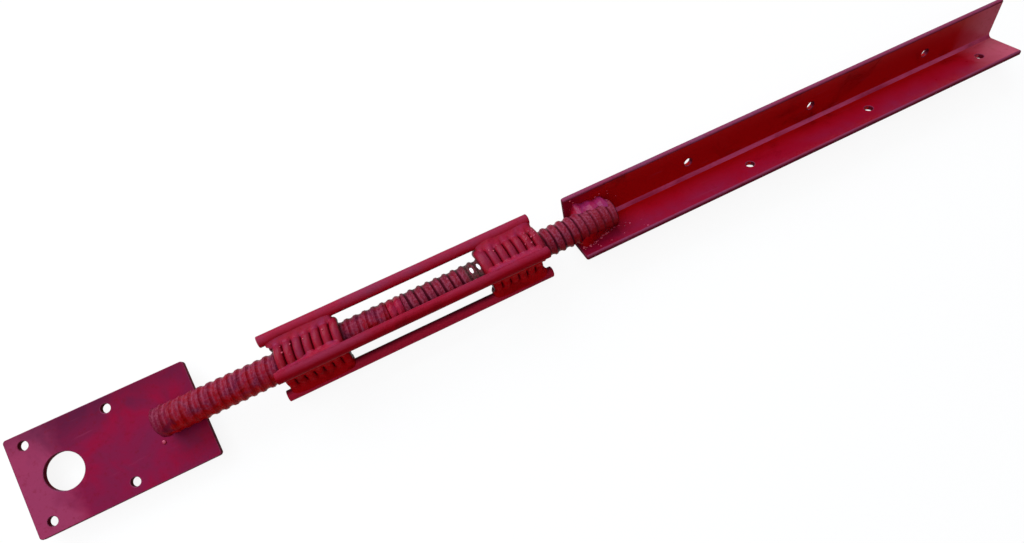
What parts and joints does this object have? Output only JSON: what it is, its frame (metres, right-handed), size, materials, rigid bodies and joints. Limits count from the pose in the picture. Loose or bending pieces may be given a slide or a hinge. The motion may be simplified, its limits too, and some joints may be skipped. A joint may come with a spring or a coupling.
{
  "type": "turnbuckle form aligner",
  "caption": "Form aligner: a stake plate and a nailing angle on opposite-hand coil rods that screw into a turnbuckle cage of round struts and wound-wire nuts.",
  "frame": {"origin": "middle of the part's base, below the lowest strut, with the rods run in until they meet", "axes": "+X along the rods from plate to angle, +Z the plate's upward normal, +Y to the back"},
  "size_m": [0.708, 0.061, 0.0403],
  "materials": {
    "crimson_paint": "thick gloss paint over mill scale and weld spatter",
    "rod_paint": "gloss paint, worn to bare steel where a nut runs over the thread"
  },
  "bodies": {
    "turnbuckle": {"left_coil_nut": "crimson_paint", "right_coil_nut": "crimson_paint", "strut_upper_front": "crimson_paint", "strut_upper_back": "crimson_paint", "strut_lower_back": "crimson_paint", "strut_lower_front": "crimson_paint", "left_nut_welds_upper_front": "crimson_paint", "left_nut_welds_upper_back": "crimson_paint", "left_nut_welds_lower_back": "crimson_paint", "left_nut_welds_lower_front": "crimson_paint", "right_nut_welds_upper_front": "crimson_paint", "right_nut_welds_upper_back": "crimson_paint", "right_nut_welds_lower_back": "crimson_paint", "right_nut_welds_lower_front": "crimson_paint"},
    "plate_stop": {"plate_rod_stop": "rod_paint"},
    "plate_end": {"plate_rod": "rod_paint", "stake_plate": "crimson_paint", "plate_weld_front": "crimson_paint", "plate_weld_back": "crimson_paint"},
    "angle_stop": {"angle_rod_stop": "rod_paint"},
    "angle_end": {"angle_rod": "rod_paint", "angle_iron": "crimson_paint", "angle_weld_front": "crimson_paint", "angle_weld_back": "crimson_paint"}
  },
  "joints": [
    {"name": "plate_thrust", "type": "slide", "parent": "turnbuckle", "child": "plate_stop", "axis": [-1, 0, 0], "range_m": [0, 0.02822]},
    {"name": "plate_turn", "type": "hinge", "parent": "plate_stop", "child": "plate_end", "pos_m": [0, 0, 0.02015], "axis": [1, 0, 0], "range_deg": [0, 1800]},
    {"name": "angle_thrust", "type": "slide", "parent": "turnbuckle", "child": "angle_stop", "axis": [1, 0, 0], "range_m": [0, 0.04939]},
    {"name": "angle_turn", "type": "hinge", "parent": "angle_stop", "child": "angle_end", "pos_m": [0, 0, 0.02015], "axis": [1, 0, 0], "range_deg": [0, 3150]}
  ],
  "couplings": [
    {"joint": "plate_thrust", "follows": "plate_turn", "m_per_rad": 0.00089827},
    {"joint": "angle_thrust", "follows": "angle_turn", "m_per_rad": 0.00089827}
  ]
}
